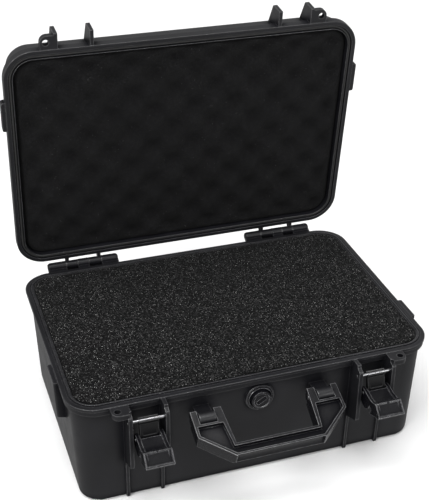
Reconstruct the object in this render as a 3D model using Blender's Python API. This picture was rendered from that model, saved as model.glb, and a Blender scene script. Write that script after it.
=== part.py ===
"""Hard equipment case, lid open: shells, hinges, two double-throw latches, carry handle, purge valve, foam.

Frame: metres, +Z up. The origin is the middle of the base's underside, on the floor. X runs along the
hinge line, and the front, with the latches and the handle, faces -Y.
"""

import math

import bmesh
import bpy
from mathutils import Matrix, Vector

MM = 0.001

# Shell sizes
WIDTH = 420 * MM
DEPTH = 284 * MM
BASE_HEIGHT = 135.5 * MM
LID_HEIGHT = 40 * MM
PARTING_GAP = 0.4 * MM
CORNER_RADIUS = 34 * MM
EDGE_RADIUS = 8 * MM
WALL_INSET_TOP = 5.2 * MM
WALL_INSET_FOOT = 9.4 * MM
CAVITY_INSET_TOP = 10 * MM
CAVITY_INSET_FOOT = 12.6 * MM
FLOOR_THICKNESS = 3.5 * MM
FLANGE_HEIGHT = 8.7 * MM
LID_FLANGE_HEIGHT = 11 * MM
LID_ROOF_THICKNESS = 3.2 * MM
LID_CAVITY_INSET_TOP = 12 * MM
LID_CAVITY_INSET_RIM = 10.3 * MM
CAVITY_FILLET = 6 * MM
CORNER_STEPS = 8
EDGE_STEPS = 4
EMBED = 3 * MM

# Gasket
GROOVE_OUTER = 5.2 * MM
GROOVE_INNER = 9.3 * MM
GROOVE_DEPTH = 4.6 * MM
GASKET_RADIUS = 1.6 * MM
TONGUE_HEIGHT = 1.2 * MM

# Hinges
HINGE_BEHIND_RIM = 10.3 * MM
HINGE_ABOVE_RIM = 1 * MM
KNUCKLE_RADIUS = 5.3 * MM
HINGE_PIN_RADIUS = 1.8 * MM
LID_OPEN_ANGLE = 83.3
HINGE_ARM_WIDTH = 4 * MM
KNUCKLE_BLOCK = 10 * MM
HINGE_WEB_TOP = 5.3 * MM
BASE_KNUCKLES = ((85.5 * MM, 107 * MM), (123.4 * MM, 137 * MM), (151.9 * MM, 175 * MM))
LID_KNUCKLES = ((107.3 * MM, 123.1 * MM), (137.3 * MM, 151.6 * MM))

# Latches
LATCH_X = 130.4 * MM
RIB_PITCH = 39.8 * MM
RIB_WIDTH = 4.4 * MM
RIB_PROUD = 18 * MM
RIB_LENGTH = 75.5 * MM
LATCH_PIN_PROUD = 12.5 * MM
LATCH_PIN_DROP = 14.5 * MM
LATCH_PIN_RADIUS = 1.8 * MM
LINK_CLIP_RADIUS = 3.5 * MM
LINK_LENGTH = 21.2 * MM
LINK_REST_ANGLE = 11.4
LINK_WIDTH = 21.6 * MM
CAM_PIN_RADIUS = 1.5 * MM
LEVER_WIDTH = 31 * MM
LEVER_CHEEK = 4.2 * MM
LEVER_BACK = [(-29.2, 3.4), (-34.5, -9.2), (-31.3, -9.9), (-26.4, 2.2)]
LEVER_DECK = [(-28.8, 5.0), (-24, 2.6), (-14, 2.4), (-5, 4.5), (-5, 3.0), (-14, 0.9), (-24, 0.9), (-28.2, 2.0)]

# Handle
HANDLE_PROUD = 15.5 * MM
HANDLE_DROP = 27 * MM
HANDLE_REST_ANGLE = 70
HANDLE_HALF_WIDTH = 84.3 * MM
HANDLE_GRIP_HALF_WIDTH = 50.5 * MM
HANDLE_SHOULDER = 23 * MM
HANDLE_REACH = 53 * MM
HANDLE_FRONT = 4.5 * MM
HANDLE_BACK = 13.5 * MM
HANDLE_BARREL = (58.6 * MM, 76.6 * MM)
HANDLE_BARREL_RADIUS = 7.4 * MM
HANDLE_PIN_RADIUS = 2.2 * MM
HANDLE_EYE_RADIUS = 9.8 * MM
HANDLE_OPENING_TOP = 49.6 * MM
HANDLE_OPENING_FOOT = 46.3 * MM
HANDLE_OPENING_DEPTH = 38 * MM
HANDLE_WALL = 3.6 * MM
HANDLE_POCKET_DEPTH = 5 * MM

# Purge valve
VALVE_DROP = 29 * MM
VALVE_BOSS_RADIUS = 16.6 * MM
VALVE_KNOB_RADIUS = 11.5 * MM
VALVE_FLANGE_RADIUS = 13.2 * MM
VALVE_SHANK_RADIUS = 6.1 * MM
VALVE_STEM_RADIUS = 2.5 * MM
VALVE_NUT_RADIUS = 10.5 * MM
VALVE_CENTRE = (0, BASE_HEIGHT - VALVE_DROP)
SLOT_LENGTH = 14 * MM
SLOT_WIDTH = 3.2 * MM
SLOT_TILT = 32

# Lugs and padlock ears
LUG_PROUD = 5 * MM
LUG_FRONT = -83 * MM
LUG_BACK = -47 * MM
LUG_DROP = 47 * MM
EAR_REACH = 168 * MM
EAR_PROUD = 16 * MM
EAR_HOLE_X = 161.5 * MM
EAR_HOLE_PROUD = 8.2 * MM
EAR_HOLE_RADIUS = 3.8 * MM
EAR_THICKNESS = 6.5 * MM

# Foam
FOAM_GAP = 1.2 * MM
FOAM_ABOVE_RIM = 1.8 * MM
PAD_THICKNESS = 10 * MM
LID_FOAM_RECESS = 2.5 * MM
FILLET_CLEAR = 4.6 * MM

CLEARANCE = 0.3 * MM
FRONT = -DEPTH / 2
BACK = DEPTH / 2
HINGE_Y = BACK + HINGE_BEHIND_RIM
HINGE_Z = BASE_HEIGHT + HINGE_ABOVE_RIM

BLACK_PLASTIC = ("case_plastic", (0.022, 0.022, 0.024), 0.5, 0.0)
GLOSS_PLASTIC = ("latch_plastic", (0.018, 0.018, 0.020), 0.3, 0.0)
STEEL = ("pin_steel", (0.62, 0.62, 0.64), 0.28, 1.0)
RUBBER = ("gasket_rubber", (0.03, 0.03, 0.03), 0.7, 0.0)
BASE_FOAM = ("base_foam", (0.035, 0.035, 0.038), 0.95, 0.0)
LID_FOAM = ("lid_foam", (0.022, 0.022, 0.024), 0.95, 0.0)


def clear_scene():
    for item in list(bpy.data.objects):
        bpy.data.objects.remove(item, do_unlink=True)


def material(spec):
    """One Principled material for each slot: name, colour, roughness, metallic."""
    name, colour, roughness, metallic = spec
    made = bpy.data.materials.get(name)
    if made:
        return made
    made = bpy.data.materials.new(name)
    made.use_nodes = True
    shader = made.node_tree.nodes["Principled BSDF"]
    shader.inputs["Base Color"].default_value = (*colour, 1)
    shader.inputs["Roughness"].default_value = roughness
    shader.inputs["Metallic"].default_value = metallic
    return made


# Outline helpers


def arc(centre, radius, start, end, steps):
    """Points along a circle, from the start angle to the end angle in degrees."""
    points = []
    for i in range(steps + 1):
        angle = math.radians(start + (end - start) * i / steps)
        points.append((centre[0] + radius * math.cos(angle), centre[1] + radius * math.sin(angle)))
    return points


def rounded_rectangle(inset, z):
    """A ring at height z, parallel to the rim's outer edge and inset from it."""
    half_x = WIDTH / 2 - inset
    half_y = DEPTH / 2 - inset
    radius = CORNER_RADIUS - inset
    ring = []
    for sign_x, sign_y, start in ((1, 1, 0), (-1, 1, 90), (-1, -1, 180), (1, -1, 270)):
        centre = (sign_x * (half_x - radius), sign_y * (half_y - radius))
        ring += arc(centre, radius, start, start + 90, CORNER_STEPS)
    return [Vector((x, y, z)) for x, y in ring]


def proud(distance):
    """The y of a point that stands proud of the front rim by a distance."""
    return FRONT - distance


# Mesh helpers


def add_loft(bm, rings, closed=False):
    """Skins a run of rings of equal length, capped at both ends, or joined end to start when closed."""
    loops = [[bm.verts.new(point) for point in ring] for ring in rings]
    count = len(rings[0])
    pairs = list(zip(loops, loops[1:]))
    if closed:
        pairs.append((loops[-1], loops[0]))
    else:
        bm.faces.new(loops[0])
        bm.faces.new(loops[-1])
    for lower, upper in pairs:
        for i in range(count):
            j = (i + 1) % count
            bm.faces.new((lower[i], lower[j], upper[j], upper[i]))


def add_prism(bm, outline, axis, start, end):
    """Extrudes an outline along an axis. The outline is (y, z) for x, (x, z) for y and (x, y) for z."""
    place = {
        "x": lambda u, v, w: Vector((w, u, v)),
        "y": lambda u, v, w: Vector((u, w, v)),
        "z": lambda u, v, w: Vector((u, v, w)),
    }[axis]
    add_loft(bm, [[place(u, v, w) for u, v in outline] for w in (start, end)])


def add_disc(bm, centre, radius, axis, start, end, steps=20):
    """A round bar along an axis, centred on a point of the plane across it."""
    add_prism(bm, arc(centre, radius, 0, 360, steps)[:-1], axis, start, end)


def add_turned(bm, profile, centre, steps=28):
    """Turns a closed (radius, y) profile about the y line through a centre (x, z)."""
    rings = []
    for i in range(steps):
        angle = 2 * math.pi * i / steps
        ring = []
        for radius, y in profile:
            x = centre[0] + radius * math.cos(angle)
            z = centre[1] + radius * math.sin(angle)
            ring.append(Vector((x, y, z)))
        rings.append(ring)
    add_loft(bm, rings, closed=True)


def make_object(name, bm, spec, smooth_angle=35):
    """Turns a bmesh into a named object with faces out, smooth shading and its own material."""
    bmesh.ops.recalc_face_normals(bm, faces=bm.faces)
    mesh = bpy.data.meshes.new(name)
    bm.to_mesh(mesh)
    bm.free()
    mesh.shade_smooth()
    mesh.set_sharp_from_angle(angle=math.radians(smooth_angle))
    made = bpy.data.objects.new(name, mesh)
    bpy.context.scene.collection.objects.link(made)
    if spec:
        mesh.materials.append(material(spec))
    return made


def boolean(target, bm, operation):
    """Applies one exact Boolean of a bmesh of separate closed bodies to the target."""
    tool = make_object("tool", bm, None)
    modifier = target.modifiers.new(operation, "BOOLEAN")
    modifier.operation = operation
    modifier.solver = "EXACT"
    modifier.object = tool
    depsgraph = bpy.context.evaluated_depsgraph_get()
    mesh = bpy.data.meshes.new_from_object(target.evaluated_get(depsgraph))
    target.modifiers.clear()
    target.data = mesh
    bpy.data.objects.remove(tool, do_unlink=True)
    mesh.set_sharp_from_angle(angle=math.radians(35))


def empty(name, location, rotation_x=0):
    """A joint's axis: an empty on it, turned about X, that the moving pieces are parented to."""
    made = bpy.data.objects.new(name, None)
    made.location = location
    made.rotation_euler = (math.radians(rotation_x), 0, 0)
    made.empty_display_size = 0.02
    bpy.context.scene.collection.objects.link(made)
    return made


def carry(child, parent, pivot):
    """Parents a piece, modelled in place with its joint at zero, to an empty that stands at the pivot."""
    child.data.transform(Matrix.Translation(-Vector(pivot)))
    child.parent = parent


# Shell profiles: (inset, height) from the first cap to the last


def base_profile():
    rim = BASE_HEIGHT
    profile = []
    for x, z in arc((0, EDGE_RADIUS), EDGE_RADIUS, 270, 360, EDGE_STEPS):
        profile.append((WALL_INSET_FOOT + EDGE_RADIUS - x, z))
    profile += [
        (WALL_INSET_TOP, rim - FLANGE_HEIGHT - 3 * MM),
        (0.8 * MM, rim - FLANGE_HEIGHT),
        (0.8 * MM, rim - 3.6 * MM),
        (0, rim - 3.2 * MM),
        (0, rim - 0.8 * MM),
        (0.8 * MM, rim),
        (6.7 * MM, rim),
        (6.9 * MM, rim + TONGUE_HEIGHT),
        (8.7 * MM, rim + TONGUE_HEIGHT),
        (8.9 * MM, rim),
        (CAVITY_INSET_TOP, rim),
    ]
    for x, z in arc((0, CAVITY_FILLET), CAVITY_FILLET, 0, -90, EDGE_STEPS):
        profile.append((CAVITY_INSET_FOOT + CAVITY_FILLET - x, FLOOR_THICKNESS + z))
    return profile


def lid_profile():
    parting = BASE_HEIGHT + PARTING_GAP
    top = BASE_HEIGHT + LID_HEIGHT
    profile = []
    for x, z in arc((0, -CAVITY_FILLET), CAVITY_FILLET, 90, 0, EDGE_STEPS):
        profile.append((LID_CAVITY_INSET_TOP + CAVITY_FILLET - x, top - LID_ROOF_THICKNESS + z))
    profile += [
        (LID_CAVITY_INSET_RIM, parting),
        (GROOVE_INNER, parting),
        (GROOVE_INNER, parting + GROOVE_DEPTH),
        (GROOVE_OUTER, parting + GROOVE_DEPTH),
        (GROOVE_OUTER, parting),
        (0.8 * MM, parting),
        (0, parting + 0.8 * MM),
        (0, BASE_HEIGHT + LID_FLANGE_HEIGHT - 0.8 * MM),
        (0.9 * MM, BASE_HEIGHT + LID_FLANGE_HEIGHT),
        (5.4 * MM, BASE_HEIGHT + LID_FLANGE_HEIGHT + 0.6 * MM),
    ]
    for x, z in arc((0, -EDGE_RADIUS), EDGE_RADIUS, 0, 90, EDGE_STEPS):
        profile.append((8.4 * MM + EDGE_RADIUS - x, top + z))
    profile += [(30 * MM, top), (31 * MM, top - 0.8 * MM)]
    return profile


def shell(name, profile):
    bm = bmesh.new()
    add_loft(bm, [rounded_rectangle(inset, z) for inset, z in profile])
    return make_object(name, bm, BLACK_PLASTIC)


# Outlines of what stands on the shells


def rib_outline():
    """A base latch rib, seen from the side: straight front, rounded foot, sloping back to the wall."""
    rim = BASE_HEIGHT
    front = proud(RIB_PROUD)
    foot = arc((front + 6 * MM, rim - RIB_LENGTH + 7 * MM), 6 * MM, 180, 250, 4)
    return [
        (FRONT + EMBED + 4 * MM, rim - 0.5 * MM),
        (proud(12 * MM), rim - 0.5 * MM),
        (front, rim - 4 * MM),
        *foot,
        (FRONT + 9.4 * MM, rim - RIB_LENGTH - 9 * MM),
    ]


def fin_outline():
    """A lid fin, seen from the side: straight front, rounded tip, sloping back to the lid's top edge."""
    rim = BASE_HEIGHT
    front = proud(RIB_PROUD)
    tip = arc((front + 3 * MM, rim + 20.5 * MM), 3 * MM, 180, 120, 3)
    return [
        (FRONT + EMBED, rim + 1.1 * MM),
        (front, rim + 1.1 * MM),
        *tip,
        (FRONT + 9.4 * MM, rim + 34 * MM),
        (FRONT + 8.6 * MM, rim + 7 * MM),
        (FRONT + EMBED, rim + 6.4 * MM),
    ]


def runner_outline():
    """The low rib that carries a latch rib's line down to the underside."""
    step = 1.8 * MM
    low = 0.5 * MM
    return [
        (FRONT + 10 * MM, 60 * MM),
        (FRONT + 7.5 * MM - step, 60 * MM),
        (FRONT + WALL_INSET_FOOT - step, 7 * MM),
        (FRONT + WALL_INSET_FOOT + 0.8 * MM, 1.4 * MM),
        (FRONT + WALL_INSET_FOOT + 5 * MM, low),
        (FRONT + WALL_INSET_FOOT + 9 * MM, 2.2 * MM),
        (FRONT + 12 * MM, 14 * MM),
    ]


def ear_outline(side):
    """A padlock ear in plan, with its free corner rounded."""
    reach = EAR_REACH
    root = LATCH_X + RIB_PITCH / 2
    corner = arc((reach - 8 * MM, proud(EAR_PROUD - 8 * MM)), 8 * MM, 0, -90, 4)
    points = [(root, FRONT + 2.5 * MM), (reach, FRONT + 2.5 * MM), *corner, (root, proud(EAR_PROUD))]
    return [(side * x, y) for x, y in points]


def rib_positions():
    for side in (-1, 1):
        for end in (-1, 1):
            yield side * LATCH_X + end * RIB_PITCH / 2


def knuckle_outline():
    """A base hinge knuckle and the block behind it, seen from the side."""
    high = BASE_HEIGHT - 0.8 * MM
    low = BASE_HEIGHT - KNUCKLE_BLOCK
    wrap = arc((HINGE_Y, HINGE_Z), KNUCKLE_RADIUS, 190, -70, 12)
    return [(BACK - EMBED, high), *wrap, (BACK + 3 * MM, low), (BACK - EMBED, low)]


def hinge_web_outline():
    """The shelf that joins a hinge's base knuckles, passing under the lid's knuckles."""
    high = BASE_HEIGHT - HINGE_WEB_TOP
    return [
        (BACK - EMBED, high),
        (HINGE_Y + 2.5 * MM, high),
        (HINGE_Y + 1.5 * MM, high - 2 * MM),
        (BACK + 2.6 * MM, high - 4.4 * MM),
        (BACK - EMBED, high - 4.4 * MM),
    ]


def base_shell():
    """The lower half with its latch ribs, ears, lugs, hinge knuckles, handle bosses and valve boss."""
    body = shell("base_shell", base_profile())
    rim = BASE_HEIGHT
    extra = bmesh.new()
    for x in rib_positions():
        add_prism(extra, rib_outline(), "x", x - RIB_WIDTH / 2, x + RIB_WIDTH / 2)
    for side in (-1, 1):
        for low, high in BASE_KNUCKLES:
            ends = sorted((side * low, side * high))
            add_prism(extra, knuckle_outline(), "x", *ends)
        wall_x = side * (WIDTH / 2 - 8 * MM)
        face_x = side * (WIDTH / 2 + LUG_PROUD)
        lug = [
            (wall_x, rim - 0.6 * MM),
            (face_x, rim - 0.6 * MM),
            (face_x - side * 1.5 * MM, rim - LUG_DROP),
            (wall_x - side * 1 * MM, rim - LUG_DROP - 2 * MM),
        ]
        add_prism(extra, lug, "y", LUG_FRONT, LUG_BACK)
    boolean(body, extra, "UNION")

    extra = bmesh.new()
    for x in rib_positions():
        add_prism(extra, runner_outline(), "x", x - 1.7 * MM, x + 1.7 * MM)
    for side in (-1, 1):
        add_prism(extra, ear_outline(side), "z", rim - 0.6 * MM - EAR_THICKNESS, rim - 0.6 * MM)
        ends = sorted(side * x for x in HANDLE_BARREL)
        centre = (proud(HANDLE_PROUD), rim - HANDLE_DROP)
        neck = arc(centre, HANDLE_BARREL_RADIUS, 20, 305, 16)
        root = FRONT + 8 * MM
        outline = [(root, centre[1] + 2 * MM), *neck, (root, centre[1] - 6.4 * MM)]
        add_prism(extra, outline, "x", *ends)
        ends = sorted((side * (BASE_KNUCKLES[0][0] + 1 * MM), side * (BASE_KNUCKLES[2][1] - 1 * MM)))
        add_prism(extra, hinge_web_outline(), "x", *ends)
    add_disc(extra, VALVE_CENTRE, VALVE_BOSS_RADIUS, "y", FRONT + 2.2 * MM, FRONT + 9 * MM, 32)
    boolean(body, extra, "UNION")

    holes = bmesh.new()
    pin_z = rim - LATCH_PIN_DROP
    for side in (-1, 1):
        centre = side * LATCH_X
        reach = RIB_PITCH / 2 + RIB_WIDTH
        bore = LATCH_PIN_RADIUS + CLEARANCE
        add_disc(holes, (proud(LATCH_PIN_PROUD), pin_z), bore, "x", centre - reach, centre + reach, 16)
        ends = sorted(side * x for x in (BASE_KNUCKLES[0][0] + 2 * MM, BASE_KNUCKLES[2][1] - 2 * MM))
        add_disc(holes, (HINGE_Y, HINGE_Z), HINGE_PIN_RADIUS + CLEARANCE, "x", *ends, 16)
        ends = sorted(side * x for x in (HANDLE_BARREL[0] - 2 * MM, HANDLE_BARREL[1] + 2 * MM))
        centre = (proud(HANDLE_PROUD), rim - HANDLE_DROP)
        add_disc(holes, centre, HANDLE_PIN_RADIUS + CLEARANCE, "x", *ends, 16)
        centre = (side * EAR_HOLE_X, proud(EAR_HOLE_PROUD))
        add_disc(holes, centre, EAR_HOLE_RADIUS, "z", rim - 10 * MM, rim + 1 * MM, 20)
    bore = VALVE_SHANK_RADIUS + CLEARANCE
    add_disc(holes, VALVE_CENTRE, bore, "y", proud(2 * MM), FRONT + 16 * MM, 24)
    boolean(body, holes, "DIFFERENCE")
    recess = bmesh.new()
    add_disc(recess, VALVE_CENTRE, VALVE_FLANGE_RADIUS + 0.4 * MM, "y", proud(2 * MM), FRONT + 4.4 * MM, 32)
    boolean(body, recess, "DIFFERENCE")
    return body


def lid_shell():
    """The lid, modelled closed, with its fins, ears, lugs and hinge arms."""
    body = shell("lid_shell", lid_profile())
    rim = BASE_HEIGHT
    extra = bmesh.new()
    for x in rib_positions():
        add_prism(extra, fin_outline(), "x", x - RIB_WIDTH / 2, x + RIB_WIDTH / 2)
    for side in (-1, 1):
        wall_x = side * (WIDTH / 2 - EMBED)
        face_x = side * (WIDTH / 2 + LUG_PROUD)
        lug = [
            (wall_x, rim + 1.1 * MM),
            (face_x, rim + 1.1 * MM),
            (face_x - side * 0.4 * MM, rim + 10.4 * MM),
            (wall_x, rim + 10.4 * MM),
        ]
        add_prism(extra, lug, "y", LUG_FRONT, LUG_BACK)
        for low, high in LID_KNUCKLES:
            ends = sorted((side * low, side * high))
            add_disc(extra, (HINGE_Y, HINGE_Z), KNUCKLE_RADIUS - 0.3 * MM, "x", *ends, 20)
    boolean(body, extra, "UNION")

    extra = bmesh.new()
    for side in (-1, 1):
        add_prism(extra, ear_outline(side), "z", rim + 1.1 * MM, rim + 1.1 * MM + EAR_THICKNESS)
        for index, (low, high) in enumerate(LID_KNUCKLES):
            near = low if index == 0 else high - HINGE_ARM_WIDTH
            ends = sorted((side * near, side * (near + HINGE_ARM_WIDTH)))
            arm = [
                (BACK - EMBED, rim + 1.3 * MM),
                (HINGE_Y - 1.5 * MM, rim + 1.3 * MM),
                (HINGE_Y + 1 * MM, HINGE_Z + 4.2 * MM),
                (HINGE_Y - 4 * MM, rim + 8.6 * MM),
                (BACK - EMBED, rim + 9.8 * MM),
            ]
            add_prism(extra, arm, "x", *ends)
    boolean(body, extra, "UNION")

    holes = bmesh.new()
    for side in (-1, 1):
        ends = sorted(side * x for x in (LID_KNUCKLES[0][0] - 2 * MM, LID_KNUCKLES[1][1] + 2 * MM))
        add_disc(holes, (HINGE_Y, HINGE_Z), HINGE_PIN_RADIUS + CLEARANCE, "x", *ends, 16)
        centre = (side * EAR_HOLE_X, proud(EAR_HOLE_PROUD))
        add_disc(holes, centre, EAR_HOLE_RADIUS, "z", rim, rim + 10 * MM, 20)
    boolean(body, holes, "DIFFERENCE")
    return body


def gasket():
    """The O-ring cord that lies in the lid's groove."""
    centre_inset = (GROOVE_OUTER + GROOVE_INNER) / 2
    centre_z = BASE_HEIGHT + PARTING_GAP + GROOVE_DEPTH - GASKET_RADIUS - CLEARANCE
    rings = []
    for offset, height in arc((0, 0), GASKET_RADIUS, 0, 360, 8)[:-1]:
        rings.append(rounded_rectangle(centre_inset + offset, centre_z + height))
    bm = bmesh.new()
    add_loft(bm, rings, closed=True)
    return make_object("lid_gasket", bm, RUBBER)


def hinge_pin(name, side):
    bm = bmesh.new()
    ends = sorted(side * x for x in (BASE_KNUCKLES[0][0] + 2.4 * MM, BASE_KNUCKLES[2][1] - 2.4 * MM))
    add_disc(bm, (HINGE_Y, HINGE_Z), HINGE_PIN_RADIUS, "x", *ends, 16)
    return make_object(name, bm, STEEL)


# Latches: open, as they stand at rest


def latch_pivot():
    return proud(LATCH_PIN_PROUD), BASE_HEIGHT - LATCH_PIN_DROP


def cam_pivot():
    """Where the lever's pin stands at the link's far end, as (y, z)."""
    y, z = latch_pivot()
    angle = math.radians(LINK_REST_ANGLE)
    return y - LINK_LENGTH * math.sin(angle), z - LINK_LENGTH * math.cos(angle)


def latch_pin(name, x):
    bm = bmesh.new()
    reach = RIB_PITCH / 2 + RIB_WIDTH / 2 + 0.4 * MM
    add_disc(bm, latch_pivot(), LATCH_PIN_RADIUS, "x", x - reach, x + reach, 16)
    return make_object(name, bm, STEEL)


def latch_link(name, x):
    """A clip round the base's pin, open to the front, a plate down from it and an eye for the lever."""
    pivot = latch_pivot()
    eye = cam_pivot()
    outer = arc(pivot, LINK_CLIP_RADIUS, 170, 420, 14)
    bore = arc(pivot, LATCH_PIN_RADIUS + CLEARANCE, 420, 170, 14)
    bm = bmesh.new()
    add_prism(bm, outer + bore, "x", x - LINK_WIDTH / 2, x + LINK_WIDTH / 2)
    link = make_object(name, bm, GLOSS_PLASTIC)
    extra = bmesh.new()
    half = 1.7 * MM
    wrap = arc(eye, 3.4 * MM, 150, 375, 12)
    waist_z = pivot[1] - 3.1 * MM
    outline = [(pivot[0] - half - 0.6 * MM, waist_z), *wrap, (pivot[0] + half - 0.6 * MM, waist_z)]
    add_prism(extra, outline, "x", x - LINK_WIDTH / 2 + 0.4 * MM, x + LINK_WIDTH / 2 - 0.4 * MM)
    boolean(link, extra, "UNION")
    holes = bmesh.new()
    add_disc(holes, eye, CAM_PIN_RADIUS + CLEARANCE, "x", x - LINK_WIDTH, x + LINK_WIDTH, 16)
    boolean(link, holes, "DIFFERENCE")
    return link


def mm_points(origin, points):
    """Points given in millimetres from an origin."""
    return [(origin[0] + u * MM, origin[1] + v * MM) for u, v in points]


def lever_cheek():
    claw = [(12.9, -13.6), (11.2, -14.8), (9.6, -10.8), (-6.6, -17.3)]
    belly = arc((0, 0), LINK_LENGTH / MM - 2.7, -114, -159, 6)
    lip = arc((0, 0), LINK_LENGTH / MM + 2.5, -160, -145, 3)
    tab = [(-20.6, -15.2), (-31.3, -10.6), (-40.5, -7.4), (-41.5, -6.3), (-30.4, 5.6), (-29.0, 5.8)]
    top = [(-24, 3.0), (-14, 2.8), (-4.5, 5), (2.5, 5.2), (7.5, 2.5), (12.0, -3.2), (14.0, -9.4)]
    return mm_points(cam_pivot(), claw + belly + lip + tab + top)


def lever_plate():
    """The finger plate across the lever, with a raised lip along its top edge."""
    points = [
        (-29.0, 5.8), (-30.4, 6.2), (-31.2, 5.3), (-30.8, 4.4), (-41.9, -6.0), (-40.9, -7.6), (-38.4, -7.9),
        (-28.4, 2.2),
    ]
    return mm_points(cam_pivot(), points)


def latch_lever(name, x):
    """Two cheeks with claws and pin pockets, and a finger plate across them."""
    half = LEVER_WIDTH / 2
    bm = bmesh.new()
    add_prism(bm, lever_plate(), "x", x - half, x + half)
    lever = make_object(name, bm, GLOSS_PLASTIC)
    extra = bmesh.new()
    inset = 0.3 * MM
    add_prism(extra, lever_cheek(), "x", x - half + inset, x - half + LEVER_CHEEK)
    add_prism(extra, lever_cheek(), "x", x + half - LEVER_CHEEK, x + half - inset)
    boolean(lever, extra, "UNION")
    for outline in (LEVER_BACK, LEVER_DECK):
        web = bmesh.new()
        add_prism(web, mm_points(cam_pivot(), outline), "x", x - half + 1 * MM, x + half - 1 * MM)
        boolean(lever, web, "UNION")
    holes = bmesh.new()
    add_disc(holes, cam_pivot(), CAM_PIN_RADIUS + CLEARANCE, "x", x - LEVER_WIDTH, x + LEVER_WIDTH, 16)
    boolean(lever, holes, "DIFFERENCE")
    return lever


def cam_pin(name, x):
    bm = bmesh.new()
    reach = LEVER_WIDTH / 2 + 0.3 * MM
    add_disc(bm, cam_pivot(), CAM_PIN_RADIUS, "x", x - reach, x + reach, 16)
    return make_object(name, bm, STEEL)


def latch(side_name, x):
    """The link swings on the base's pin, and the lever swings on the link's far end."""
    base_pivot = (0, *latch_pivot())
    lever_pivot = (0, *cam_pivot())
    link_axis = empty(side_name + "_link_axis", base_pivot)
    lever_axis = empty(side_name + "_lever_axis", Vector(lever_pivot) - Vector(base_pivot))
    lever_axis.parent = link_axis
    latch_pin(side_name + "_latch_pivot_pin", x)
    carry(latch_link(side_name + "_latch_link", x), link_axis, base_pivot)
    carry(cam_pin(side_name + "_latch_cam_pin", x), link_axis, base_pivot)
    carry(latch_lever(side_name + "_latch_lever", x), lever_axis, lever_pivot)


# Handle: modelled hanging straight down


def handle():
    """A U of channel section: two forked arms, chamfered shoulders and a grip bar."""
    rim = BASE_HEIGHT
    pivot = (proud(HANDLE_PROUD), rim - HANDLE_DROP)
    front = pivot[0] - HANDLE_FRONT
    back = pivot[0] + HANDLE_BACK
    top = pivot[1] + HANDLE_EYE_RADIUS
    shoulder = pivot[1] - HANDLE_SHOULDER
    foot = pivot[1] - HANDLE_REACH
    outer = [
        (-HANDLE_HALF_WIDTH, top),
        (-HANDLE_HALF_WIDTH, shoulder),
        (-HANDLE_GRIP_HALF_WIDTH, foot),
        (HANDLE_GRIP_HALF_WIDTH, foot),
        (HANDLE_HALF_WIDTH, shoulder),
        (HANDLE_HALF_WIDTH, top),
    ]
    inner_top = HANDLE_OPENING_TOP
    inner_foot = HANDLE_OPENING_FOOT
    grip_top = pivot[1] - HANDLE_OPENING_DEPTH
    inner = [(inner_top, top), (inner_foot, grip_top), (-inner_foot, grip_top), (-inner_top, top)]
    bm = bmesh.new()
    add_prism(bm, outer + inner, "y", front, back)
    body = make_object("handle", bm, GLOSS_PLASTIC)

    cuts = bmesh.new()
    wall = HANDLE_WALL
    for side in (-1, 1):
        pocket = [
            (side * (HANDLE_HALF_WIDTH - wall), pivot[1] - 11 * MM),
            (side * (HANDLE_HALF_WIDTH - wall), shoulder + 1.5 * MM),
            (side * (HANDLE_GRIP_HALF_WIDTH - 0.3 * MM), foot + 4.6 * MM),
            (side * (inner_foot + wall), grip_top + 1 * MM),
            (side * (inner_top + wall - 0.6 * MM), pivot[1] - 11 * MM),
        ]
        add_prism(cuts, pocket, "y", front - 1 * MM, front + HANDLE_POCKET_DEPTH)
        ends = sorted(side * x for x in (HANDLE_BARREL[0] - 0.6 * MM, HANDLE_BARREL[1] + 0.6 * MM))
        slot = [
            (ends[0], top + 1 * MM),
            (ends[1], top + 1 * MM),
            (ends[1], pivot[1] - 8.6 * MM),
            (ends[0], pivot[1] - 8.6 * MM),
        ]
        add_prism(cuts, slot, "y", front - 1 * MM, back + 1 * MM)
    boolean(body, cuts, "DIFFERENCE")

    corner = bmesh.new()
    reach = HANDLE_HALF_WIDTH + 5 * MM
    lift = HANDLE_EYE_RADIUS
    turn = arc(pivot, lift, 0, 90, 5)
    trim = [(back + 1 * MM, pivot[1]), *turn, (pivot[0], top + 1 * MM), (back + 1 * MM, top + 1 * MM)]
    add_prism(corner, trim, "x", -reach, reach)
    trim = [(front - 1 * MM, top - 3 * MM), (front + 3 * MM, top + 1 * MM), (front - 1 * MM, top + 1 * MM)]
    add_prism(corner, trim, "x", -reach, reach)
    trim = [(back + 1 * MM, foot + 5 * MM), (back - 4.5 * MM, foot - 1 * MM), (back + 1 * MM, foot - 1 * MM)]
    add_prism(corner, trim, "x", -reach, reach)
    boolean(body, corner, "DIFFERENCE")

    holes = bmesh.new()
    for side in (-1, 1):
        ends = sorted(side * x for x in (inner_top - 3 * MM, HANDLE_HALF_WIDTH - 1.4 * MM))
        add_disc(holes, pivot, HANDLE_PIN_RADIUS + CLEARANCE, "x", *ends, 16)
    boolean(body, holes, "DIFFERENCE")
    return body


def handle_pin(name, side):
    bm = bmesh.new()
    pivot = (proud(HANDLE_PROUD), BASE_HEIGHT - HANDLE_DROP)
    ends = sorted(side * x for x in (HANDLE_OPENING_TOP - 1 * MM, HANDLE_HALF_WIDTH - 1.8 * MM))
    add_disc(bm, pivot, HANDLE_PIN_RADIUS, "x", *ends, 16)
    return make_object(name, bm, STEEL)


# Purge valve: turned pieces about the y line through its centre


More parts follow.
